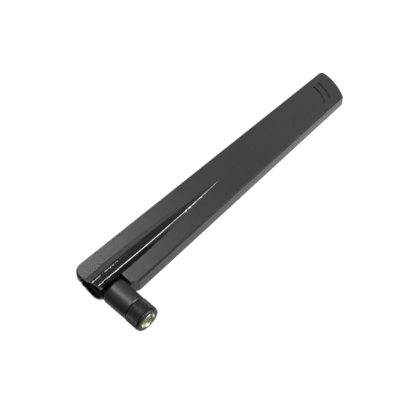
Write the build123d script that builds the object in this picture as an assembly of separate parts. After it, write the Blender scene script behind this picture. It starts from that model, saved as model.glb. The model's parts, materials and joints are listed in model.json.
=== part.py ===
from build123d import *
import os
from math import atan2, cos, radians, sin, sqrt

# Paddle antenna with a folding elbow and a screw-on coaxial plug.
# Millimetres. +X is the way the plug mates, +Y runs up the blade to its tip, and
# +Z is the blade's thickness. The origin is on the plug's axis, in its mating plane.
# Blade pieces are drawn about the blade's own centre line and then moved to BLADE_X.

# ---- places along the plug's axis ------------------------------------------------
NUT_MOUTH_X = 0.8
NUT_REAR_X = -6.25
ELBOW_FRONT_X = -6.6
ELBOW_SHOULDER_X = -18.15
PIVOT_X = -24.0
BLADE_X = -23.5
PIVOT_DX = PIVOT_X - BLADE_X

# ---- blade -----------------------------------------------------------------------
BASE_END_Y = -6.4
REAR_BASE_END_Y = -5.6
BASE_HALF_WIDTH = 11.16
TIP_HALF_WIDTH = 7.83
FRONT_BASE_DEPTH = 3.65
FRONT_TIP_DEPTH = 2.15
REAR_BASE_DEPTH = 4.0
REAR_TIP_DEPTH = 4.0
TIP_ARC_CENTRE = (-5.0, 111.37)
TIP_ARC_R = 23.0
BASE_CORNER_R = 4.4
REAR_BASE_CORNER_R = 5.5
TIP_LEFT_CORNER_R = 2.3
TIP_RIGHT_CORNER_R = 0.9
BEVEL_WIDTH = 1.05
BEVEL_DEPTH = 0.55
REAR_EDGE_R = 0.5
WALL = 1.0
SEAM = 0.14
LIP_DEPTH = 0.7
LIP_INSET = 0.5
LIP_PLAY = 0.05

EAR_R = 5.6
EAR_SIDE_X = 3.6
REAR_EAR_SIDE_X = 4.9
NOTCH_Y = 5.7
NOTCH_EDGE_R = 0.45
NOTCH_CHAMFER_X = 8.94
NOTCH_CHAMFER_RUN = 3.5
NOTCH_CHAMFER_SLOPE = 1.5
EAR_FOOT_X = -6.6
EAR_FOOT_RUN = 1.6
SLOT_LEFT_X = -6.3
SLOT_TOP_Y = 5.75
SLOT_HALF_HEIGHT = 2.7

RIDGE_HALF_WIDTH = 4.2
RIDGE_HEIGHT = 2.45
REAR_RIDGE_HEIGHT = 1.1
RIDGE_X = -0.3
RIDGE_END_X = 0.25
RIDGE_TAPER_Y = 8.0
RIDGE_END_Y = 63.5
RIDGE_WIDTH_POWER = 1.8
RIDGE_HEIGHT_POWER = 1.4
RIDGE_LEAST_SCALE = 0.03
RIDGE_FOOT_DEPTH = 0.6
RIDGE_STEPS = 16
RIDGE_PROFILE = (
    (-1.0, 0.0),
    (-0.7, 0.33),
    (-0.4, 0.69),
    (-0.2, 0.92),
    (-0.1, 0.985),
    (0.05, 1.0),
    (0.3, 0.985),
    (0.5, 0.94),
    (0.62, 0.85),
    (0.72, 0.66),
    (0.86, 0.33),
    (1.0, 0.0),
)
TUNNEL_END_Y = 50.0
DIMPLE_R = 1.6
DIMPLE_DEPTH = 0.35

TIP_GROOVES = (((-4.7, 110.7), 17.5, -4.2, 4.5), ((-4.7, 109.3), 16.0, -4.2, 4.8))
TIP_GROOVE_WIDTH = 0.85
TIP_GROOVE_DEPTH = 0.6
STIFFENERS_Y = (108, 118)
STIFFENER_THICKNESS = 0.8
STIFFENER_END_Z = 0.4

# ---- hinge -----------------------------------------------------------------------
TONGUE_R = 5.2
TONGUE_HALF_THICKNESS = 2.55
CHANNEL_HALF_HEIGHT = 1.35
POST_R = 1.6
POST_HOLE_R = 1.65
POST_END_Z = 1.45
HUB_R = 2.8
HUB_END_Z = 2.75
WASHER_GAP = 0.03

# ---- board and cable -------------------------------------------------------------
BOARD_TOP_Z = -0.75
BOARD_THICKNESS = 0.6
BOARD_BASE_Y = 17.0
BOARD_TIP_Y = 100.0
BOARD_BASE_HALF_WIDTH = 7.2
BOARD_TIP_HALF_WIDTH = 5.4
COPPER = 0.05
FEED_Y = 52.0
FEED_GAP = 1.2
PEGS = ((-5.2, 22.0), (5.2, 22.0), (0.0, 96.0))
PEG_R = 0.9
PEG_SHOULDER_R = 1.6
PEG_END_Z = -1.95
FOAM_PADS_Y = (28, 70)
FOAM_PAD_LENGTH = 6
GLUE_DABS_Y = (23, 36)
CABLE_R = 0.685
BRAID_R = 0.55
DIELECTRIC_R = 0.4
CORE_R = 0.15
CABLE_BEND_R = 5.5
BEND_START_X = PIVOT_X + CABLE_BEND_R
JACKET_END_Y = 46.5
BRAID_END_Y = 50.2
DIELECTRIC_END_Y = 51.3
CORE_END_Y = 54.2

# ---- plug ------------------------------------------------------------------------
ELBOW_R = 5.5
ELBOW_FRONT_R = 5.4
ELBOW_FRONT_CHAMFER = 0.3
ELBOW_SHOULDER_FILLET = 0.9
ELBOW_BORE_R = 2.2
BARREL_R = 2.29
BARREL_BORE_R = 2.05
BARREL_LENGTH = 2.2
GASKET_THICKNESS = 0.6
GASKET_SEAT_R = 2.45
JOURNAL_R = 2.8
NUT_BORE_R = 2.87
SPIGOT_R = 3.4
SPIGOT_BORE_R = 3.45
SPIGOT_FRONT_X = -6.3
SPIGOT_REAR_X = -12.8
STEM_R = 0.8
STEM_BORE_R = 0.5
STEM_REAR_X = -15.4
BRAID_THICKNESS = 0.15
FERRULE_R = 1.35
DIELECTRIC_REAR_X = -8.0
CONTACT_R = 0.64
CONTACT_REAR_X = -7.4
SOCKET_R = 0.47
SOCKET_DEPTH = 2.6
SAW_CUT = 0.16
CLIP_FRONT_X = -11.2
CLIP_REAR_X = -11.8
CLIP_R = 4.0
CLIP_WIDTH = 1.05
CLIP_GAP = 1.6
SEAL_X = -8.4
SEAL_R = 0.42
SEAL_FLOOR_R = 2.6
SEAL_PLAY = 0.02
SNAP_FRONT_X = -3.6
SNAP_REAR_X = -4.1
SNAP_R = 3.12
SNAP_WIDTH = 0.6
SNAP_GAP = 0.8
GROOVE_PLAY = 0.05
RING_ROOM = 0.12
THREAD_PITCH = 25.4 / 36
THREAD_ROOT_R = 3.175
THREAD_TURNS = 4
THREAD_FIRST_X = -0.25
THREAD_ROOT_FLAT = 0.1
MOUTH_CHAMFER = 0.4
HEX_ACROSS_FLATS = 8.0
HEX_PLAY = 0.04
COVER_R = 5.5
COVER_RIBS = 60
COVER_RIB_DEPTH = 0.22
COVER_RIB_SHAPE = ((0.0, 0), (0.3, 1), (0.62, 1), (0.92, 0))
COVER_SMOOTH_R = 5.38
COVER_LIP_X = 0.35
COVER_HOLE_R = 3.5
COVER_GROOVE_X = -0.45
COVER_GROOVE_WIDTH = 0.3
COVER_GROOVE_DEPTH = 0.3
COVER_FRONT_FILLET = 0.75
COVER_REAR_CHAMFER = 0.2
COVER_REAR_RIM = 0.3
SLEEVE_R = 3.45
SLEEVE_CHAMFER = 0.12


# ---- helpers ---------------------------------------------------------------------
def turned(*profile):
    """Solid of revolution about the plug's axis, from (x, radius) corners."""
    return revolve(make_face(Polyline(*profile, close=True)), axis=Axis.X)


def collar(x0, x1, inner_r, outer_r):
    return turned((x0, inner_r), (x1, inner_r), (x1, outer_r), (x0, outer_r))


def rod(x0, x1, radius):
    return collar(x0, x1, 0, radius)


def upright(x, y, z0, z1, radius):
    return Pos(x, y, (z0 + z1) / 2) * Cylinder(radius, abs(z1 - z0))


def block(x0, x1, y0, y1, z0, z1):
    return Pos((x0 + x1) / 2, (y0 + y1) / 2, (z0 + z1) / 2) * Box(x1 - x0, y1 - y0, z1 - z0)


def along_y(x, z, y0, y1, radius):
    return Pos(x, (y0 + y1) / 2, z) * Rot(90, 0, 0) * Cylinder(radius, y1 - y0)


def on_blade(shape):
    return Pos(BLADE_X, 0, 0) * shape


def group(*shapes):
    """Separate solids kept side by side in one node."""
    return Compound(children=[solid for shape in shapes for solid in shape.solids()])


# ---- blade shape -----------------------------------------------------------------
def tip_arc_y(x):
    return TIP_ARC_CENTRE[1] + sqrt(TIP_ARC_R**2 - (x - TIP_ARC_CENTRE[0]) ** 2)


TIP_CORNER_Y = tip_arc_y(TIP_HALF_WIDTH)


def half_width(y):
    return BASE_HALF_WIDTH - (BASE_HALF_WIDTH - TIP_HALF_WIDTH) * y / TIP_CORNER_Y


FRONT = {
    "base_depth": FRONT_BASE_DEPTH,
    "tip_depth": FRONT_TIP_DEPTH,
    "base_end_y": BASE_END_Y,
    "corner_r": BASE_CORNER_R,
    "ear_side_x": EAR_SIDE_X,
    "ridge_height": RIDGE_HEIGHT,
}
REAR = {
    "base_depth": REAR_BASE_DEPTH,
    "tip_depth": REAR_TIP_DEPTH,
    "base_end_y": REAR_BASE_END_Y,
    "corner_r": REAR_BASE_CORNER_R,
    "ear_side_x": REAR_EAR_SIDE_X,
    "ridge_height": REAR_RIDGE_HEIGHT,
}


def depth(side, y):
    """How far the broad face of one side is from the parting plane."""
    return side["base_depth"] - (side["base_depth"] - side["tip_depth"]) * y / TIP_CORNER_Y


def rounded(face, corner, radius):
    nearest = face.vertices().sort_by_distance(corner)[0]
    return fillet(nearest, radius)


def blade_outline(side):
    """Plan of one side of the blade before the elbow's notch is cut."""
    base_y = side["base_end_y"]
    base_left = (-half_width(base_y), base_y)
    base_right = (half_width(base_y), base_y)
    tip_right = (TIP_HALF_WIDTH, TIP_CORNER_Y)
    tip_left_x = -half_width(tip_arc_y(-TIP_HALF_WIDTH))
    tip_left = (tip_left_x, tip_arc_y(tip_left_x))
    tip_middle = (0, tip_arc_y(0))
    edges = Curve() + [
        Line(base_left, base_right),
        Line(base_right, tip_right),
        ThreePointArc(tip_right, tip_middle, tip_left),
        Line(tip_left, base_left),
    ]
    face = make_face(edges)
    face = rounded(face, base_left, side["corner_r"])
    face = rounded(face, tip_left, TIP_LEFT_CORNER_R)
    return rounded(face, tip_right, TIP_RIGHT_CORNER_R)


def hinge_cutout(side):
    """Plan of what is cut away: the notch beside the elbow, and below the rounded ear."""
    ear_x = side["ear_side_x"]
    reach = ear_x - PIVOT_DX
    ear_start = (PIVOT_DX, -EAR_R)
    ear_end = (ear_x, -sqrt(EAR_R**2 - reach**2))
    middle_angle = (radians(-90) + atan2(ear_end[1], reach)) / 2
    ear_middle = (PIVOT_DX + EAR_R * cos(middle_angle), EAR_R * sin(middle_angle))
    below = BASE_END_Y - 6
    beyond = BASE_HALF_WIDTH + 5
    chamfer_top = NOTCH_Y + NOTCH_CHAMFER_RUN * NOTCH_CHAMFER_SLOPE
    edges = Curve() + [
        ThreePointArc(ear_start, ear_middle, ear_end),
        Polyline(
            ear_end,
            (ear_x, NOTCH_Y),
            (NOTCH_CHAMFER_X, NOTCH_Y),
            (NOTCH_CHAMFER_X + NOTCH_CHAMFER_RUN, chamfer_top),
            (beyond, chamfer_top),
            (beyond, below),
            (EAR_FOOT_X, below),
            (EAR_FOOT_X, BASE_END_Y),
            (EAR_FOOT_X + EAR_FOOT_RUN, -EAR_R - 0.05),
            ear_start,
        ),
    ]
    return make_face(edges)


def wedge(side, inset):
    """Everything between the parting plane and a sloping broad face, lowered by inset."""
    y0, y1, reach = -20, 150, 30
    top0 = depth(side, y0) - inset
    top1 = depth(side, y1) - inset
    side_view = Polyline((y0, 0), (y1, 0), (y1, top1), (y0, top0), close=True)
    return extrude(Plane.YZ * make_face(side_view), amount=reach, both=True)


def ridge_section(side, y, inset):
    """One cross-section of the ridge, standing on the sloping face."""
    done = max(0, (y - RIDGE_TAPER_Y) / (RIDGE_END_Y - RIDGE_TAPER_Y))
    centre = RIDGE_X + (RIDGE_END_X - RIDGE_X) * done
    width_scale = max(1 - done**RIDGE_WIDTH_POWER, RIDGE_LEAST_SCALE)
    height = side["ridge_height"] * max(1 - done**RIDGE_HEIGHT_POWER, RIDGE_LEAST_SCALE)
    width = max(RIDGE_HALF_WIDTH * width_scale - inset, 0.05)
    foot = depth(side, y) - inset
    crown = [Vector(centre + u * width, y, foot + v * height) for u, v in RIDGE_PROFILE]
    under = Vector(0, 0, -RIDGE_FOOT_DEPTH)
    return make_face([Spline(*crown), Polyline(crown[-1], crown[-1] + under, crown[0] + under, crown[0])])


def ridge(side, inset, end_y):
    """Rounded ridge that narrows and sinks into the face; inset gives its hollow."""
    run = RIDGE_END_Y - RIDGE_TAPER_Y
    taper = [RIDGE_TAPER_Y + run * step / RIDGE_STEPS for step in range(RIDGE_STEPS)]
    stations = [BASE_END_Y - 2] + [y for y in taper if y < end_y] + [end_y]
    return loft([ridge_section(side, y, inset) for y in stations], ruled=True)


def outer_half(side):
    """One half of the blade as a solid block with its edges worked and its ridge."""
    block_half = extrude(blade_outline(side), amount=8) & wedge(side, 0)
    top = block_half.faces().sort_by(Axis.Z)[-1]
    if side is FRONT:
        block_half = chamfer(top.edges(), BEVEL_DEPTH, BEVEL_WIDTH, reference=top)
    else:
        block_half = fillet(top.edges(), REAR_EDGE_R)
    block_half = block_half + ridge(side, 0, RIDGE_END_Y) - extrude(hinge_cutout(side), amount=12)
    if side is FRONT:
        block_half = fillet(notch_edge(block_half), NOTCH_EDGE_R)
    return block_half


def notch_edge(half):
    """The straight edge between the broad face and the notch."""
    level = half.edges().filter_by_position(Axis.Y, NOTCH_Y - 0.01, NOTCH_Y + 0.01)
    return level.filter_by(Axis.X).sort_by(Axis.Z)[-1]


def inner_plan(side, inset):
    plan = blade_outline(side) - hinge_cutout(side)
    return offset(plan, amount=-inset, kind=Kind.INTERSECTION)


def inner_half(side):
    """The hollow inside one half."""
    hollow = extrude(inner_plan(side, WALL), amount=8) & wedge(side, WALL)
    return hollow + ridge(side, WALL, TUNNEL_END_Y)


def tongue_slot():
    """Room for the elbow's tongue to swing, open at the base end and in the notch."""
    return block(SLOT_LEFT_X, 20, -20, SLOT_TOP_Y, -SLOT_HALF_HEIGHT, SLOT_HALF_HEIGHT)


def hinge_hub(side):
    """Hub and pivot post under the ridge, both on the hinge axis."""
    face_z = side["base_depth"]
    hub = upright(PIVOT_DX, 0, HUB_END_Z, face_z + side["ridge_height"], HUB_R)
    inside = ridge(side, WALL / 2, TUNNEL_END_Y) + block(-8, 8, -5, 5, 0, face_z - WALL / 2)
    return (hub & inside) + upright(PIVOT_DX, 0, POST_END_Z, HUB_END_Z + 0.5, POST_R)


def dimple(side):
    crest = side["base_depth"] + side["ridge_height"]
    return Pos(PIVOT_DX, 0, crest + DIMPLE_R - DIMPLE_DEPTH) * Sphere(DIMPLE_R)


def stiffener(side, y):
    """A cross rib inside the tip, beyond the board."""
    y0 = y - STIFFENER_THICKNESS / 2
    y1 = y + STIFFENER_THICKNESS / 2
    top = side["tip_depth"] - WALL / 2
    return block(-TIP_HALF_WIDTH, TIP_HALF_WIDTH - WALL, y0, y1, STIFFENER_END_Z, top)


def half_shell(side):
    """One moulded half: walls, slot, hub and dimple, above the parting plane."""
    shell = outer_half(side) - inner_half(side) - tongue_slot() + hinge_hub(side)
    for y in STIFFENERS_Y:
        shell = shell + stiffener(side, y)
    return shell - dimple(side) - block(-30, 30, -30, 160, -1, SEAM / 2)


def tip_grooves():
    """Two curved grooves in the broad face near the tip."""
    cuts = []
    for (cx, cy), radius, x0, x1 in TIP_GROOVES:
        ring = Circle(radius + TIP_GROOVE_WIDTH / 2) - Circle(radius - TIP_GROOVE_WIDTH / 2)
        band = Pos(cx, cy) * ring
        window = Pos((x0 + x1) / 2, cy + radius) * Rectangle(x1 - x0, radius)
        floor_z = depth(FRONT, cy + radius) - TIP_GROOVE_DEPTH
        cuts.append(Pos(0, 0, floor_z) * extrude(band & window, amount=2))
    return cuts


def lip_ring(outer_inset, inner_inset, z0, z1):
    ring = inner_plan(REAR, outer_inset) - inner_plan(REAR, inner_inset)
    return Pos(0, 0, z0) * extrude(ring, amount=z1 - z0) - tongue_slot()


def front_shell():
    shell = half_shell(FRONT)
    for cut in tip_grooves():
        shell = shell - cut
    shell = shell + lip_ring(LIP_INSET, WALL, -LIP_DEPTH, WALL)
    for x, y in PEGS:
        ceiling = depth(FRONT, y) - WALL / 2
        shell = shell + upright(x, y, BOARD_TOP_Z + 0.05, ceiling, PEG_SHOULDER_R)
        shell = shell + upright(x, y, PEG_END_Z, 0, PEG_R)
    return shell


def rear_shell():
    shell = mirror(half_shell(REAR), about=Plane.XY)
    shell = shell - lip_ring(LIP_INSET - LIP_PLAY, WALL + LIP_PLAY, -LIP_DEPTH - LIP_PLAY, 0)
    board_rear = BOARD_TOP_Z - BOARD_THICKNESS
    for x, y in PEGS:
        floor_z = -depth(REAR, y) + WALL / 2
        shell = shell + upright(x, y, floor_z, board_rear - 0.02, PEG_SHOULDER_R)
        shell = shell - upright(x, y, PEG_END_Z - 0.1, 0, PEG_R + LIP_PLAY)
    return shell


# ---- board and what is on it -----------------------------------------------------
def antenna_board():
    outline = Polyline(
        (-BOARD_BASE_HALF_WIDTH, BOARD_BASE_Y),
        (BOARD_BASE_HALF_WIDTH, BOARD_BASE_Y),
        (BOARD_TIP_HALF_WIDTH, BOARD_TIP_Y),
        (-BOARD_TIP_HALF_WIDTH, BOARD_TIP_Y),
        close=True,
    )
    board = Pos(0, 0, BOARD_TOP_Z - BOARD_THICKNESS) * extrude(make_face(outline), amount=BOARD_THICKNESS)
    for x, y in PEGS:
        board = board - upright(x, y, -3, 0, PEG_R + 0.1)
    return board


def strip(x0, x1, y0, y1, z0):
    return block(PIVOT_DX + x0, PIVOT_DX + x1, y0, y1, z0, z0 + COPPER)


def dipole_arm(feed_y, way, long_reach, short_reach, z0):
    """One dipole arm: a feed bar with two long outer legs and two short inner ones."""

    def leg(x0, x1, reach):
        y0, y1 = sorted((feed_y, feed_y + way * reach))
        return strip(x0, x1, y0, y1, z0)

    bar = leg(-4.2, 4.2, 2.4)
    outer = leg(-4.2, -3.0, long_reach) + leg(3.0, 4.2, long_reach)
    inner = leg(-2.2, -1.4, short_reach) + leg(1.4, 2.2, short_reach)
    return bar + outer + inner


def board_copper_front():
    """The two arms of the dipole, with the feed gap between them."""
    tip_arm = dipole_arm(FEED_Y + FEED_GAP / 2, 1, 27, 12, BOARD_TOP_Z)
    base_arm = dipole_arm(FEED_Y - FEED_GAP / 2, -1, 25, 12, BOARD_TOP_Z)
    return group(tip_arm, base_arm)


def board_copper_rear():
    """Two passive strips on the board's rear side."""
    z0 = BOARD_TOP_Z - BOARD_THICKNESS - COPPER
    return group(strip(-3.6, -2.0, 40, 64, z0), strip(2.0, 3.6, 40, 64, z0))


def solder_dome(y, half_length, radius, bore_r):
    """A mound of solder on the board, wetted round the wire that it holds."""
    mound = Pos(PIVOT_DX, y, BOARD_TOP_Z + COPPER) * scale(Sphere(1), (radius, half_length, radius * 1.05))
    mound = mound & block(-8, 8, y - 5, y + 5, BOARD_TOP_Z + COPPER, 3)
    return mound - along_y(PIVOT_DX, 0, y - 5, y + 5, bore_r)


def solder_joints():
    braid_joint = solder_dome((JACKET_END_Y + BRAID_END_Y) / 2 + 0.4, 1.3, 1.5, BRAID_R)
    core_joint = solder_dome(CORE_END_Y - 0.9, 1.0, 1.0, CORE_R)
    return group(braid_joint, core_joint)


def foam_pads():
    """Foam blocks that hold the board off the rear shell."""
    top = BOARD_TOP_Z - BOARD_THICKNESS - COPPER - 0.02
    pads = []
    for y in FOAM_PADS_Y:
        floor_z = WALL + 0.05 - depth(REAR, y + FOAM_PAD_LENGTH)
        pads.append(block(-3, 3, y, y + FOAM_PAD_LENGTH, floor_z, top))
    return group(*pads)


def cable_glue():
    """Dabs of hot-melt glue that fix the cable to the board."""
    dabs = []
    for y in GLUE_DABS_Y:
        dab = Pos(PIVOT_DX, y, BOARD_TOP_Z) * scale(Sphere(1), (2.0, 2.6, 1.7))
        dab = dab & block(-8, 8, y - 5, y + 5, BOARD_TOP_Z + COPPER, 3)
        dabs.append(dab - along_y(PIVOT_DX, 0, y - 5, y + 5, CABLE_R))
    return group(*dabs)


def heat_shrink():
    y0 = JACKET_END_Y - 4.0
    y1 = JACKET_END_Y - 0.3
    sleeve = along_y(PIVOT_DX, 0, y0, y1, CABLE_R + 0.2) - along_y(PIVOT_DX, 0, y0, y1, CABLE_R)
    return sleeve - block(-8, 8, y0, y1, -3, BOARD_TOP_Z + COPPER)


# ---- cable -----------------------------------------------------------------------
def coax_elbow_run():
    return rod(BEND_START_X, STEM_REAR_X - 0.1, CABLE_R)


def coax_bend():
    """Quarter turn of the cable across the hinge."""
    section = Plane(origin=(BEND_START_X, 0, 0), x_dir=(0, 1, 0), z_dir=(1, 0, 0)) * Circle(CABLE_R)
    turn_axis = Axis((BEND_START_X, CABLE_BEND_R, 0), (0, 0, -1))
    return revolve(section, axis=turn_axis, revolution_arc=90)


def coax_blade_run():
    return along_y(PIVOT_DX, 0, CABLE_BEND_R, JACKET_END_Y, CABLE_R)


def stripped_end(y0, y1, radius):
    return along_y(PIVOT_DX, 0, y0, y1, radius)


def coax_braid_at_connector():
    """Braid spread over the crimp stem."""
    return collar(STEM_REAR_X, SPIGOT_REAR_X - 0.1, STEM_R, STEM_R + BRAID_THICKNESS)


def coax_dielectric_at_connector():
    return collar(STEM_REAR_X, DIELECTRIC_REAR_X, CORE_R, DIELECTRIC_R)


def coax_core_at_connector():
    return rod(STEM_REAR_X, CONTACT_REAR_X + 1.2, CORE_R)


# ---- elbow -----------------------------------------------------------------------
def tongue():
    """Round knuckle, open on the blade's side for the cable to swing through."""
    plan = Pos(PIVOT_X, 0) * Circle(TONGUE_R)
    root_x = ELBOW_SHOULDER_X + 1
    plan = plan + Pos((PIVOT_X + root_x) / 2, 0) * Rectangle(root_x - PIVOT_X, 2 * TONGUE_R)
    slab = Pos(0, 0, -TONGUE_HALF_THICKNESS) * extrude(plan, amount=2 * TONGUE_HALF_THICKNESS)
    slab = slab & rod(PIVOT_X - 9, root_x, TONGUE_R)
    floor_y = -CHANNEL_HALF_HEIGHT
    channel = block(-40, ELBOW_SHOULDER_X, floor_y, 9, -CHANNEL_HALF_HEIGHT, CHANNEL_HALF_HEIGHT)
    post_hole = upright(PIVOT_X, 0, CHANNEL_HALF_HEIGHT - 0.1, 9, POST_HOLE_R)
    return slab - channel - post_hole - mirror(post_hole, about=Plane.XY)


def elbow_body():
    """Turned body with a filleted shoulder, and the knuckle behind it."""
    outside = turned(
        (ELBOW_SHOULDER_X, 0),
        (ELBOW_SHOULDER_X, ELBOW_R),
        (ELBOW_FRONT_X - ELBOW_FRONT_CHAMFER, ELBOW_FRONT_R),
        (ELBOW_FRONT_X, ELBOW_FRONT_R - ELBOW_FRONT_CHAMFER),
        (ELBOW_FRONT_X, 0),
    )
    shoulder = outside.faces().sort_by(Axis.X)[0]
    outside = fillet(shoulder.edges(), ELBOW_SHOULDER_FILLET)
    step_x = SPIGOT_REAR_X - 0.3
    bore = rod(step_x, ELBOW_FRONT_X + 1, SPIGOT_BORE_R)
    bore = bore + rod(ELBOW_SHOULDER_X + 1.2, step_x + 0.5, ELBOW_BORE_R)
    bore = bore + rod(ELBOW_SHOULDER_X - 1, ELBOW_SHOULDER_X + 2, CHANNEL_HALF_HEIGHT)
    clip_groove = collar(CLIP_REAR_X - RING_ROOM, CLIP_FRONT_X + RING_ROOM, 0, CLIP_R + RING_ROOM)
    return outside + tongue() - bore - clip_groove


def pivot_washers():
    """Thin washers between the cheeks and the hubs."""
    z0, z1 = TONGUE_HALF_THICKNESS, HUB_END_Z - WASHER_GAP
    front = upright(PIVOT_X, 0, z0, z1, HUB_R) - upright(PIVOT_X, 0, 0, 5, POST_HOLE_R + 0.05)
    return group(front, mirror(front, about=Plane.XY))


# ---- plug ------------------------------------------------------------------------
def ring_groove(x0, x1, ring_inner_r):
    """Groove in the plug's body for a ring, with a little play all round."""
    return collar(x0 - GROOVE_PLAY, x1 + GROOVE_PLAY, ring_inner_r - GROOVE_PLAY, 5)


def connector_body():
    chamfer = 0.1
    flange_x = -BARREL_LENGTH - GASKET_THICKNESS
    outside = turned(
        (0, 0),
        (0, BARREL_R - chamfer),
        (-chamfer, BARREL_R),
        (-BARREL_LENGTH, BARREL_R),
        (-BARREL_LENGTH, GASKET_SEAT_R),
        (flange_x, GASKET_SEAT_R),
        (flange_x, JOURNAL_R),
        (SPIGOT_FRONT_X, JOURNAL_R),
        (SPIGOT_FRONT_X, SPIGOT_R),
        (SPIGOT_REAR_X, SPIGOT_R),
        (SPIGOT_REAR_X, STEM_R),
        (STEM_REAR_X, STEM_R),
        (STEM_REAR_X, 0),
    )
    bore = rod(DIELECTRIC_REAR_X, 1, BARREL_BORE_R)
    bore = bore + rod(STEM_REAR_X - 1, DIELECTRIC_REAR_X + 1, STEM_BORE_R)
    snap_groove = ring_groove(SNAP_REAR_X, SNAP_FRONT_X, SNAP_R - SNAP_WIDTH)
    clip_groove = ring_groove(CLIP_REAR_X, CLIP_FRONT_X, CLIP_R - CLIP_WIDTH)
    seal_groove = ring_groove(SEAL_X - SEAL_R, SEAL_X + SEAL_R, SEAL_FLOOR_R)
    return outside - bore - snap_groove - clip_groove - seal_groove


def connector_dielectric():
    return collar(DIELECTRIC_REAR_X, 0, CONTACT_R, BARREL_BORE_R)


def centre_contact():
    """Socket contact: a tube split by two crossing saw cuts at its mouth."""
    contact = rod(CONTACT_REAR_X, 0, CONTACT_R) - rod(-SOCKET_DEPTH, 1, SOCKET_R)
    contact = contact - rod(CONTACT_REAR_X - 1, CONTACT_REAR_X + 1.2, CORE_R)
    for turn in (0, 90):
        contact = contact - Rot(turn, 0, 0) * block(-SOCKET_DEPTH, 1, -SAW_CUT / 2, SAW_CUT / 2, -1, 1)
    return contact


def gasket():
    seat_x = -BARREL_LENGTH - GASKET_THICKNESS
    return collar(seat_x, seat_x + GASKET_THICKNESS - 0.05, GASKET_SEAT_R, NUT_BORE_R - 0.06)


def split_ring(x0, x1, inner_r, outer_r, gap):
    return collar(x0, x1, inner_r, outer_r) - block(x0 - 1, x1 + 1, -gap / 2, gap / 2, -outer_r - 1, 0)


def nut_snap_ring():
    return split_ring(SNAP_REAR_X, SNAP_FRONT_X, SNAP_R - SNAP_WIDTH, SNAP_R, SNAP_GAP)


def swivel_clip():
    return split_ring(CLIP_REAR_X, CLIP_FRONT_X, CLIP_R - CLIP_WIDTH, CLIP_R, CLIP_GAP)


def swivel_seal():
    """Rubber ring in the spigot's groove, which gives the swivel its drag."""
    section = Pos(SEAL_X, SEAL_FLOOR_R + SEAL_R) * Circle(SEAL_R - SEAL_PLAY)
    return revolve(section, axis=Axis.X)


def crimp_ferrule():
    return collar(STEM_REAR_X, SPIGOT_REAR_X - 0.1, STEM_R + BRAID_THICKNESS, FERRULE_R)


def thread_grooves():
    """Grooves of the 1/4-36 thread, one ring for each turn."""
    half_mouth = THREAD_PITCH * 0.38
    half_root = THREAD_ROOT_FLAT / 2
    inside_r = NUT_BORE_R - 0.2
    rings = []
    for turn in range(THREAD_TURNS):
        x = THREAD_FIRST_X - turn * THREAD_PITCH
        rings.append(
            turned(
                (x - half_mouth, inside_r),
                (x - half_mouth, NUT_BORE_R),
                (x - half_root, THREAD_ROOT_R),
                (x + half_root, THREAD_ROOT_R),
                (x + half_mouth, NUT_BORE_R),
                (x + half_mouth, inside_r),
            )
        )
    return rings


def hexagon(across_flats, x0, x1):
    plan = Plane.YZ * RegularPolygon(across_flats / 2, 6, major_radius=False)
    return Pos(x0, 0, 0) * extrude(plan, amount=x1 - x0)


def nut_sleeve():
    """Round mouth of the nut, with its outer corner taken off."""
    return turned(
        (0, 0),
        (0, SLEEVE_R),
        (NUT_MOUTH_X - SLEEVE_CHAMFER, SLEEVE_R),
        (NUT_MOUTH_X, SLEEVE_R - SLEEVE_CHAMFER),
        (NUT_MOUTH_X, 0),
    )


def nut_mouth():
    """Countersink that leads the jack into the thread."""
    past = NUT_MOUTH_X + 0.1
    start = past - MOUTH_CHAMFER - 0.1
    return turned((start, 0), (start, NUT_BORE_R), (past, NUT_BORE_R + past - start), (past, 0))


def coupling_nut():
    """Threaded nut: a hexagon inside the cover, with a groove for the snap ring."""
    nut = hexagon(HEX_ACROSS_FLATS, NUT_REAR_X + 0.1, COVER_LIP_X) + nut_sleeve()
    nut = nut - rod(NUT_REAR_X - 1, NUT_MOUTH_X + 1, NUT_BORE_R) - nut_mouth()
    for groove in thread_grooves():
        nut = nut - groove
    return nut - collar(SNAP_REAR_X - RING_ROOM, SNAP_FRONT_X + RING_ROOM, 0, SNAP_R + RING_ROOM)


def ribbed_plan():
    """Round outline with fine axial ribs."""
    corners = []
    step = radians(360 / COVER_RIBS)
    for rib in range(COVER_RIBS):
        for share, level in COVER_RIB_SHAPE:
            radius = COVER_R - COVER_RIB_DEPTH * (1 - level)
            angle = (rib + share) * step
            corners.append((radius * cos(angle), radius * sin(angle)))
    return make_face(Polyline(*corners, close=True))


def cover_rear_rim():
    rim_x = NUT_REAR_X + COVER_REAR_RIM
    return turned(
        (NUT_REAR_X, 0),
        (NUT_REAR_X, COVER_SMOOTH_R - COVER_REAR_CHAMFER),
        (NUT_REAR_X + COVER_REAR_CHAMFER, COVER_SMOOTH_R),
        (rim_x, COVER_SMOOTH_R),
        (rim_x, 0),
    )


def nut_cover():
    """Ribbed plastic grip pressed over the nut, with a smooth rounded front."""
    ribs_x = NUT_REAR_X + COVER_REAR_RIM
    ribs = Pos(ribs_x, 0, 0) * extrude(Plane.YZ * ribbed_plan(), amount=COVER_GROOVE_X - ribs_x)
    head_x = COVER_GROOVE_X + COVER_GROOVE_WIDTH
    neck = rod(COVER_GROOVE_X, head_x, COVER_SMOOTH_R - COVER_GROOVE_DEPTH)
    head = rod(head_x, NUT_MOUTH_X, COVER_SMOOTH_R)
    head = fillet(head.edges().sort_by(Axis.X)[-1], COVER_FRONT_FILLET)
    cover = cover_rear_rim() + ribs + neck + head
    socket = hexagon(HEX_ACROSS_FLATS + HEX_PLAY, NUT_REAR_X - 1, COVER_LIP_X + 0.01)
    return cover - socket - rod(-1, NUT_MOUTH_X + 1, COVER_HOLE_R)


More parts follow.
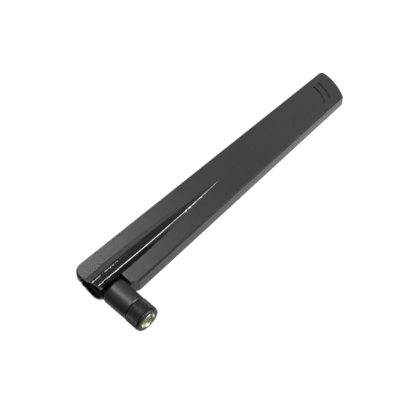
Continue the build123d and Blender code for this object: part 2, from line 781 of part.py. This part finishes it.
# ---- write one file for each node ------------------------------------------------
NODES = {
    "front_shell": on_blade(front_shell()),
    "rear_shell": on_blade(rear_shell()),
    "antenna_board": on_blade(antenna_board()),
    "board_copper_front": on_blade(board_copper_front()),
    "board_copper_rear": on_blade(board_copper_rear()),
    "solder_joints": on_blade(solder_joints()),
    "foam_pads": on_blade(foam_pads()),
    "cable_glue": on_blade(cable_glue()),
    "heat_shrink": on_blade(heat_shrink()),
    "coax_blade_run": on_blade(coax_blade_run()),
    "coax_braid_at_board": on_blade(stripped_end(JACKET_END_Y, BRAID_END_Y, BRAID_R)),
    "coax_dielectric_at_board": on_blade(stripped_end(BRAID_END_Y, DIELECTRIC_END_Y, DIELECTRIC_R)),
    "coax_core_at_board": on_blade(stripped_end(DIELECTRIC_END_Y, CORE_END_Y, CORE_R)),
    "coax_bend": coax_bend(),
    "coax_elbow_run": coax_elbow_run(),
    "elbow_body": elbow_body(),
    "pivot_washers": pivot_washers(),
    "connector_body": connector_body(),
    "connector_dielectric": connector_dielectric(),
    "centre_contact": centre_contact(),
    "gasket": gasket(),
    "nut_snap_ring": nut_snap_ring(),
    "swivel_clip": swivel_clip(),
    "swivel_seal": swivel_seal(),
    "crimp_ferrule": crimp_ferrule(),
    "coax_braid_at_connector": coax_braid_at_connector(),
    "coax_dielectric_at_connector": coax_dielectric_at_connector(),
    "coax_core_at_connector": coax_core_at_connector(),
    "coupling_nut": coupling_nut(),
    "nut_cover": nut_cover(),
}

os.makedirs("parts", exist_ok=True)
for name, shape in NODES.items():
    export_step(shape, f"parts/{name}.step")
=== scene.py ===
import json
from math import cos, pi, radians, sin

import bpy
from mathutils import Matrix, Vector


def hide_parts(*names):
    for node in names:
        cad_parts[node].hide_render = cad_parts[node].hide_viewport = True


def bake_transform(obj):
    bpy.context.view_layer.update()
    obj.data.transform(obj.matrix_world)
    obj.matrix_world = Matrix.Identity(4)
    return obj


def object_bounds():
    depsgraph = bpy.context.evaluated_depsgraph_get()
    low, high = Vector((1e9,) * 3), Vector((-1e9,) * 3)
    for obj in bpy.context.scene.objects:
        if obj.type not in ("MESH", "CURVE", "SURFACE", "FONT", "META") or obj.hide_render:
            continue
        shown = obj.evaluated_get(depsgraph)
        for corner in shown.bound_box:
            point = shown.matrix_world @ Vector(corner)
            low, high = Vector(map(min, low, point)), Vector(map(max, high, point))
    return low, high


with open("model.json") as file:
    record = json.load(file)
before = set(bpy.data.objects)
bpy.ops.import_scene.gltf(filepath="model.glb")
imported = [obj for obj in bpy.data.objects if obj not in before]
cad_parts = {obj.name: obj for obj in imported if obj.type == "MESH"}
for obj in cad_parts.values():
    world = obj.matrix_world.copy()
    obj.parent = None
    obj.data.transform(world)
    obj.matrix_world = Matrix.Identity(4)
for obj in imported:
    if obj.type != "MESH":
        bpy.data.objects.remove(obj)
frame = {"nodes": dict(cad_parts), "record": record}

# Paddle antenna with a folding elbow and a screw-on plug. Metres, in the part's own frame:
# +X is the way the plug mates, +Y runs up the blade, +Z is out of the blade's front face.
MM = 0.001
CAD_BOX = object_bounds()

# ---- places and sizes, in millimetres ---------------------------------------------
BLADE_X = -23.5
PIVOT_X = -24.0
KNUCKLE_END_X = -18.0
KNUCKLE_BLEND = 0.3
RIDGE_HALF_WIDTH = 4.2
RIDGE_WIDTH_POWER = 1.8
RIDGE_TAPER_Y = 8.0
RIDGE_END_Y = 63.5
RIDGE_BLEND = 0.1
# the middle of the ridge, from the middle of the blade, at its two ends
RIDGE_X = -0.3
RIDGE_END_X = 0.25
CABLE_R = 0.685
CABLE_BEND_R = 5.5
CABLE_BEND_STEPS = 24
CABLE_SIDES = 20

# ---- greys, and grains in millimetres, of the black plastics, and the knuckle's painted shade ---
SHELL_GREYS = (0.012, 0.021)
RIDGE_GREY = 0.005
RIDGE_ROUGHNESS = (0.08, 0.13)
FLATS_ADDED_ROUGHNESS = 0.14
FLATS_GRAIN_STRENGTH = 0.6
SHELL_GRAIN = 0.22
SHELL_GRAIN_DEPTH = 0.02
SHELL_CLOUD = 9.0
ELBOW_GREYS = (0.020, 0.028)
ELBOW_ROUGHNESS = (0.28, 0.40)
# painted shade: the knuckle down in the slot between the ears is coloured near black for the
# shade it sits in
KNUCKLE_PAINTED_SHADE = 0.006
KNUCKLE_ADDED_ROUGHNESS = 0.25
SPECULAR_OUTSIDE = 0.5
SPECULAR_KNUCKLE = 0.05
SATIN_GRAIN = 0.3
SATIN_GRAIN_DEPTH = 0.012
SATIN_CLOUD = 6.0
SATIN_TONES = (0.85, 1.15)

# ---- metal: grains in millimetres, tarnish as a share of the brightness, and the braid's painted shade ---
LATHE_RINGS = 0.12
LATHE_RING_DEPTH = 0.006
TARNISH_CLOUD = 1.5
TARNISH = 0.82
BRAID_STRAND = 0.14
BRAID_STRAND_DEPTH = 0.04
# painted shade: the darker colour in the gaps between the braid's strands
BRAID_GAP_SHADE = (0.36, 0.35, 0.33)
BRAID_LIGHT = (0.74, 0.72, 0.68)

# ---- camera: aim and distance in millimetres, angles in degrees -------------------------
CAMERA_AIM = (-23.3, 52.8, 0.0)
CAMERA_AZIMUTH = 44.2
CAMERA_ELEVATION = 56.7
CAMERA_DISTANCE = 597.7
CAMERA_LENS = 135.0
CAMERA_SENSOR = 36.0
# in metres
CAMERA_CLIP = (0.01, 20.0)

# ---- sky and table, by the Y and Z of the direction of sight ------------------------------
SKY_LOW_Z = 0.05
SKY_HIGH_Z = 0.9
SKY_RADIANCES = (0.06, 0.42)
TABLE_DEEP_Z = -0.70
TABLE_EDGE_Z = -0.35
TABLE_NEAR_Y = 0.33
TABLE_FAR_Y = 0.50
TABLE_RADIANCES = (0.5, 1.2)

# ---- lights: name, way towards it, distance, width and height in metres, radiance ----------
SOFTBOXES = (
    ("shoulder_light", (0.73, 0.43, 0.53), 1.5, 0.50, 0.55, 31.0),
    ("flank_glow", (0.81, 0.51, 0.31), 1.5, 0.45, 0.36, 1.3),
    ("slope_light", (-0.90, 0.42, 0.06), 1.0, 0.40, 0.35, 0.7),
    ("overhead_light", (-0.46, -0.12, 0.88), 1.0, 0.45, 0.28, 9.0),
    ("crest_light", (-0.45, 0.27, 0.85), 1.0, 0.10, 0.08, 19.0),
    ("edge_glow", (0.86, 0.50, -0.18), 1.0, 0.25, 0.25, 1.3),
    ("plug_card", (0.36, -0.46, -0.81), 1.0, 0.30, 0.30, 1.6),
    ("tip_glow", (-0.32, 0.60, 0.73), 1.0, 0.30, 0.25, 0.9),
)

# ---- backdrop: half its width in metres, its mottling in millimetres -----------------------
FLOOR_HALF_SIZE = 2.5
BACKDROP_GLOW = 0.95
BACKDROP_GREYS = (0.07, 0.09)
BACKDROP_CLOUD = 40.0


# ---- node helpers ---------------------------------------------------------------------
class Nodes:
    """Short calls for the nodes that the finishes and the sky share."""

    def __init__(self, tree):
        self.tree = tree

    def link(self, source, target):
        self.tree.links.new(source, target)

    def feed(self, value, target):
        """Links a socket, or sets a plain number."""
        if isinstance(value, (int, float)):
            target.default_value = value
        else:
            self.link(value, target)

    def math(self, operation, *values):
        node = self.tree.nodes.new("ShaderNodeMath")
        node.operation = operation
        for index, value in enumerate(values):
            self.feed(value, node.inputs[index])
        return node.outputs[0]

    def ramp(self, source, low, high, from_low=0.0, from_high=1.0):
        """Maps source from one range to another, held at both ends."""
        node = self.tree.nodes.new("ShaderNodeMapRange")
        ends = {"From Min": from_low, "From Max": from_high, "To Min": low, "To Max": high}
        for socket, value in ends.items():
            node.inputs[socket].default_value = value
        self.link(source, node.inputs["Value"])
        return node.outputs[0]

    def mix(self, share, a, b):
        """Blend by share; a and b are colours or colour sockets."""
        node = self.tree.nodes.new("ShaderNodeMix")
        node.data_type = "RGBA"
        self.link(share, node.inputs["Factor"])
        for socket, colour in ((node.inputs[6], a), (node.inputs[7], b)):
            if isinstance(colour, tuple):
                socket.default_value = (*colour, 1)
            else:
                self.link(colour, socket)
        return node.outputs[2]

    def split(self, vector):
        node = self.tree.nodes.new("ShaderNodeSeparateXYZ")
        self.link(vector, node.inputs[0])
        return node.outputs


class Shader(Nodes):
    """A material built round one principled surface, in object coordinates."""

    def __init__(self, name, **principled):
        self.material = bpy.data.materials.new(name)
        self.material.use_nodes = True
        super().__init__(self.material.node_tree)
        self.tree.nodes.clear()
        output = self.tree.nodes.new("ShaderNodeOutputMaterial")
        self.surface = self.tree.nodes.new("ShaderNodeBsdfPrincipled")
        self.link(self.surface.outputs[0], output.inputs[0])
        self.place = self.tree.nodes.new("ShaderNodeTexCoord").outputs["Object"]
        for socket, value in principled.items():
            self.surface.inputs[socket.replace("_", " ")].default_value = value

    def colour(self, source):
        self.link(source, self.surface.inputs["Base Color"])

    def roughness(self, source):
        self.link(source, self.surface.inputs["Roughness"])

    def noise(self, size_mm, detail=2.0, stretch=(1, 1, 1)):
        """Noise whose features are about size_mm across. Returns its 0 to 1 output."""
        mapping = self.tree.nodes.new("ShaderNodeMapping")
        mapping.inputs["Scale"].default_value = stretch
        self.link(self.place, mapping.inputs["Vector"])
        node = self.tree.nodes.new("ShaderNodeTexNoise")
        node.inputs["Scale"].default_value = 1 / (size_mm * MM)
        node.inputs["Detail"].default_value = detail
        self.link(mapping.outputs[0], node.inputs["Vector"])
        return node.outputs["Fac"]

    def bump(self, height, depth_mm, share=1.0):
        node = self.tree.nodes.new("ShaderNodeBump")
        node.inputs["Distance"].default_value = depth_mm * MM
        self.feed(share, node.inputs["Strength"])
        self.link(height, node.inputs["Height"])
        self.link(node.outputs[0], self.surface.inputs["Normal"])


def grey(value):
    return (value, value, value)


def dimmed(colour, share):
    return tuple(channel * share for channel in colour)


# ---- finishes -----------------------------------------------------------------------
def ridge_share(s):
    """1 on the ridge and 0 on the flats beside it, from its plan."""
    x, y, _ = s.split(s.place)
    done = s.ramp(y, 0.0, 1.0, RIDGE_TAPER_Y * MM, RIDGE_END_Y * MM)
    centre = s.ramp(done, (BLADE_X + RIDGE_X) * MM, (BLADE_X + RIDGE_END_X) * MM)
    width = s.ramp(s.math("POWER", done, RIDGE_WIDTH_POWER), RIDGE_HALF_WIDTH * MM, 0.0)
    beside = s.math("SUBTRACT", s.math("ABSOLUTE", s.math("SUBTRACT", x, centre)), width)
    return s.ramp(beside, 1.0, 0.0, -RIDGE_BLEND * MM, RIDGE_BLEND * MM)


def shell_plastic():
    """Finely sparked charcoal flats, with the ridge polished."""
    s = Shader("shell_plastic")
    polished = ridge_share(s)
    flats = s.math("SUBTRACT", 1.0, polished)
    fine, cloud = s.noise(SHELL_GRAIN, 3.0), s.noise(SHELL_CLOUD, 2.0)
    tone = s.math("MULTIPLY_ADD", cloud, 0.5, s.math("MULTIPLY", fine, 0.5))
    charcoal = s.mix(tone, *map(grey, SHELL_GREYS))
    s.colour(s.mix(polished, charcoal, grey(RIDGE_GREY)))
    gloss = s.ramp(fine, *RIDGE_ROUGHNESS)
    s.roughness(s.math("MULTIPLY_ADD", flats, FLATS_ADDED_ROUGHNESS, gloss))
    s.bump(fine, SHELL_GRAIN_DEPTH, s.math("MULTIPLY", flats, FLATS_GRAIN_STRENGTH))
    return s.material


def satin_plastic(name, tone, roughness):
    s = Shader(name)
    grain, cloud = s.noise(SATIN_GRAIN, 3.0), s.noise(SATIN_CLOUD, 2.0)
    s.colour(s.mix(cloud, *(grey(tone * share) for share in SATIN_TONES)))
    s.roughness(s.ramp(grain, roughness - 0.05, roughness + 0.07))
    s.bump(grain, SATIN_GRAIN_DEPTH)
    return s.material


def elbow_plastic():
    """Satin outside; the knuckle inside the hinge is matt, and its colour is darkened with
    painted shade for the hinge slot it sits in.
    """
    s = Shader("elbow_plastic")
    x, _, _ = s.split(s.place)
    knuckle = s.ramp(x, 1.0, 0.0, (KNUCKLE_END_X - KNUCKLE_BLEND) * MM, KNUCKLE_END_X * MM)
    grain, cloud = s.noise(SATIN_GRAIN, 3.0), s.noise(SATIN_CLOUD, 2.0)
    outside = s.mix(cloud, *map(grey, ELBOW_GREYS))
    # painted shade: inside the hinge the satin grey gives way to a near-black colour
    s.colour(s.mix(knuckle, outside, grey(KNUCKLE_PAINTED_SHADE)))
    satin = s.ramp(grain, *ELBOW_ROUGHNESS)
    s.roughness(s.math("MULTIPLY_ADD", knuckle, KNUCKLE_ADDED_ROUGHNESS, satin))
    specular = s.ramp(knuckle, SPECULAR_OUTSIDE, SPECULAR_KNUCKLE)
    s.link(specular, s.surface.inputs["Specular IOR Level"])
    s.bump(grain, SATIN_GRAIN_DEPTH)
    return s.material


def plated_metal(name, colour, roughness):
    """Turned and plated metal: fine rings round the plug's axis, and slight tarnish."""
    s = Shader(name, Metallic=1.0)
    rings = s.noise(LATHE_RINGS, 1.0, (1, 0.05, 0.05))
    cloud = s.noise(TARNISH_CLOUD, 3.0)
    s.colour(s.mix(cloud, colour, dimmed(colour, TARNISH)))
    s.roughness(s.ramp(cloud, roughness * 0.8, roughness * 1.4))
    s.bump(rings, LATHE_RING_DEPTH)
    return s.material


def woven_braid():
    """Tinned wires; the gaps between the strands are rougher, and painted shade darkens their
    colour.
    """
    s = Shader("braid", Metallic=1.0)
    strands = s.noise(BRAID_STRAND, 2.0, (0.5, 1, 1))
    s.colour(s.mix(strands, BRAID_GAP_SHADE, BRAID_LIGHT))
    s.roughness(s.ramp(strands, 0.5, 0.3))
    s.bump(strands, BRAID_STRAND_DEPTH)
    return s.material


def tinted_plastic(name, colour, roughness, grain_mm=0.5, depth=0.01):
    s = Shader(name)
    grain = s.noise(grain_mm, 3.0)
    s.colour(s.mix(grain, dimmed(colour, 0.86), colour))
    s.roughness(s.ramp(grain, roughness - 0.05, roughness + 0.08))
    s.bump(grain, depth)
    return s.material


FINISHES = {
    "shell_plastic": shell_plastic(),
    "elbow_plastic": elbow_plastic(),
    "cover_plastic": satin_plastic("cover_plastic", 0.013, 0.40),
    "gold_plate": plated_metal("gold_plate", (0.92, 0.90, 0.74), 0.34),
    # painted shade: the insulator is white, but its colour is darkened to olive for the shade of
    # the recess behind the plug's mouth
    "ptfe": tinted_plastic("ptfe", (0.15, 0.15, 0.06), 0.4),
    "silicone": tinted_plastic("silicone", (0.42, 0.12, 0.07), 0.5),
    "spring_metal": plated_metal("spring_metal", (0.60, 0.60, 0.60), 0.3),
    "seal_rubber": tinted_plastic("seal_rubber", (0.02, 0.02, 0.02), 0.6),
    "braid": woven_braid(),
    "copper_wire": plated_metal("copper_wire", (0.80, 0.72, 0.62), 0.25),
    "washer_plastic": tinted_plastic("washer_plastic", (0.74, 0.74, 0.68), 0.4),
    "cable_jacket": satin_plastic("cable_jacket", 0.03, 0.4),
    "board": tinted_plastic("board", (0.02, 0.12, 0.05), 0.35, 1.2),
    "copper_foil": plated_metal("copper_foil", (0.72, 0.42, 0.24), 0.3),
    "solder": plated_metal("solder", (0.72, 0.72, 0.72), 0.2),
    "foam": tinted_plastic("foam", (0.10, 0.10, 0.10), 0.9, 0.4, 0.2),
    "glue": tinted_plastic("glue", (0.75, 0.72, 0.6), 0.3, 1.0, 0.05),
    "heat_shrink_plastic": tinted_plastic("heat_shrink_plastic", (0.02, 0.02, 0.02), 0.5),
}


def finish_cad_nodes():
    """Every carried-over CAD node takes the finish of its slot in the record."""
    slots = {s["node"]: s["material_slot"] for s in frame["record"]["subparts"]}
    for name, node in frame["nodes"].items():
        node.data.materials.clear()
        node.data.materials.append(FINISHES[slots[name]])
        node.modifiers.new("weighted_normals", "WEIGHTED_NORMAL")


# ---- the cable's bend ---------------------------------------------------------------
def bend_vertices(start_x):
    """Rings of a quarter turn, from along the plug's axis to up the blade."""
    vertices = []
    for step in range(CABLE_BEND_STEPS + 1):
        turn = radians(90) * step / CABLE_BEND_STEPS
        outward = Vector((-sin(turn), -cos(turn), 0))
        centre = Vector((start_x, CABLE_BEND_R, 0)) + outward * CABLE_BEND_R
        for side in range(CABLE_SIDES):
            around = 2 * pi * side / CABLE_SIDES
            offset = outward * cos(around) + Vector((0, 0, 1)) * sin(around)
            vertices.append((centre + offset * CABLE_R) * MM)
    return vertices


def bend_faces():
    faces = []
    for step in range(CABLE_BEND_STEPS):
        for side in range(CABLE_SIDES):
            here = step * CABLE_SIDES + side
            there = step * CABLE_SIDES + (side + 1) % CABLE_SIDES
            faces.append((here, there, there + CABLE_SIDES, here + CABLE_SIDES))
    return faces


def cable_bend():
    """The stretch of cable that crosses the hinge, as a tube bent through a quarter turn."""
    start_x = PIVOT_X + CABLE_BEND_R
    mesh = bpy.data.meshes.new("cable_across_hinge")
    mesh.from_pydata(bend_vertices(start_x), [], bend_faces())
    mesh.shade_smooth()
    piece = bpy.data.objects.new("cable_across_hinge", mesh)
    bpy.context.scene.collection.objects.link(piece)
    piece.data.materials.append(FINISHES["cable_jacket"])
    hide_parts("coax_bend")
    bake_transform(piece)


# ---- studio ---------------------------------------------------------------------------
def direction(azimuth, elevation):
    """Unit vector towards an azimuth and elevation; azimuth 0 is -Y and 90 is +X."""
    a, e = radians(azimuth), radians(elevation)
    return Vector((sin(a) * cos(e), -cos(a) * cos(e), sin(e)))


def place_facing(item, back, distance):
    """Puts item at a distance from the camera's aim, along back, and turns it to face the aim."""
    item.location = Vector(CAMERA_AIM) * MM + back * distance
    item.rotation_mode = "QUATERNION"
    item.rotation_quaternion = (-back).to_track_quat("-Z", "Y")


def camera():
    data = bpy.data.cameras.new("camera")
    data.lens = CAMERA_LENS
    data.sensor_width = CAMERA_SENSOR
    data.clip_start, data.clip_end = CAMERA_CLIP
    item = bpy.data.objects.new("camera", data)
    bpy.context.scene.collection.objects.link(item)
    place_facing(item, direction(CAMERA_AZIMUTH, CAMERA_ELEVATION), CAMERA_DISTANCE * MM)
    bpy.context.scene.camera = item


def softbox(name, towards, distance, width, height, radiance):
    """Rectangular light aimed at the object; radiance is the brightness of its face."""
    data = bpy.data.lights.new(name, "AREA")
    data.shape = "RECTANGLE"
    data.size, data.size_y = width, height
    data.energy = radiance * pi * width * height
    item = bpy.data.objects.new(name, data)
    bpy.context.scene.collection.objects.link(item)
    place_facing(item, Vector(towards).normalized(), distance)


def sky():
    """Grey overhead, dark round the horizon, and a table below that is brighter past the tip."""
    world = bpy.data.worlds.new("sky")
    world.use_nodes = True
    nodes = Nodes(world.node_tree)
    _, y, z = nodes.split(nodes.tree.nodes.new("ShaderNodeTexCoord").outputs["Generated"])
    above = nodes.ramp(z, *SKY_RADIANCES, SKY_LOW_Z, SKY_HIGH_Z)
    table = nodes.ramp(y, *TABLE_RADIANCES, TABLE_NEAR_Y, TABLE_FAR_Y)
    below = nodes.math("MULTIPLY", nodes.ramp(z, 1.0, 0.0, TABLE_DEEP_Z, TABLE_EDGE_Z), table)
    background = world.node_tree.nodes["Background"]
    background.inputs["Color"].default_value = (1, 1, 1, 1)
    nodes.link(nodes.math("ADD", above, below), background.inputs["Strength"])
    bpy.context.scene.world = world


def studio():
    bpy.context.scene.view_settings.view_transform = "Standard"
    for box in SOFTBOXES:
        softbox(*box)


def backdrop(name, vertices, faces, material):
    """Pale surface that the camera sees, and the object's gloss and shading don't."""
    mesh = bpy.data.meshes.new(name)
    mesh.from_pydata(vertices, [], faces)
    item = bpy.data.objects.new(name, mesh)
    bpy.context.scene.collection.objects.link(item)
    item.data.materials.append(material)
    item.visible_glossy = False
    item.visible_diffuse = False
    item.visible_shadow = False


def floor_and_walls():
    """Floor under the object, and four tall walls far out around it."""
    glow = {"Emission_Color": (1, 1, 1, 1), "Emission_Strength": BACKDROP_GLOW}
    s = Shader("pale_card", Roughness=0.6, **glow)
    s.colour(s.mix(s.noise(BACKDROP_CLOUD, 2.0), *map(grey, BACKDROP_GREYS)))
    low, half = CAD_BOX[0].z, FLOOR_HALF_SIZE
    corners = [(x * half, y * half, low) for x, y in ((-1, -1), (1, -1), (1, 1), (-1, 1))]
    backdrop("floor", corners, [(0, 1, 2, 3)], s.material)
    tops = [(x, y, half) for x, y, _ in corners]
    walls = [(side, (side + 1) % 4, 4 + (side + 1) % 4, 4 + side) for side in range(4)]
    backdrop("walls", corners + tops, walls, s.material)


camera()
sky()
studio()
floor_and_walls()
finish_cad_nodes()
cable_bend()
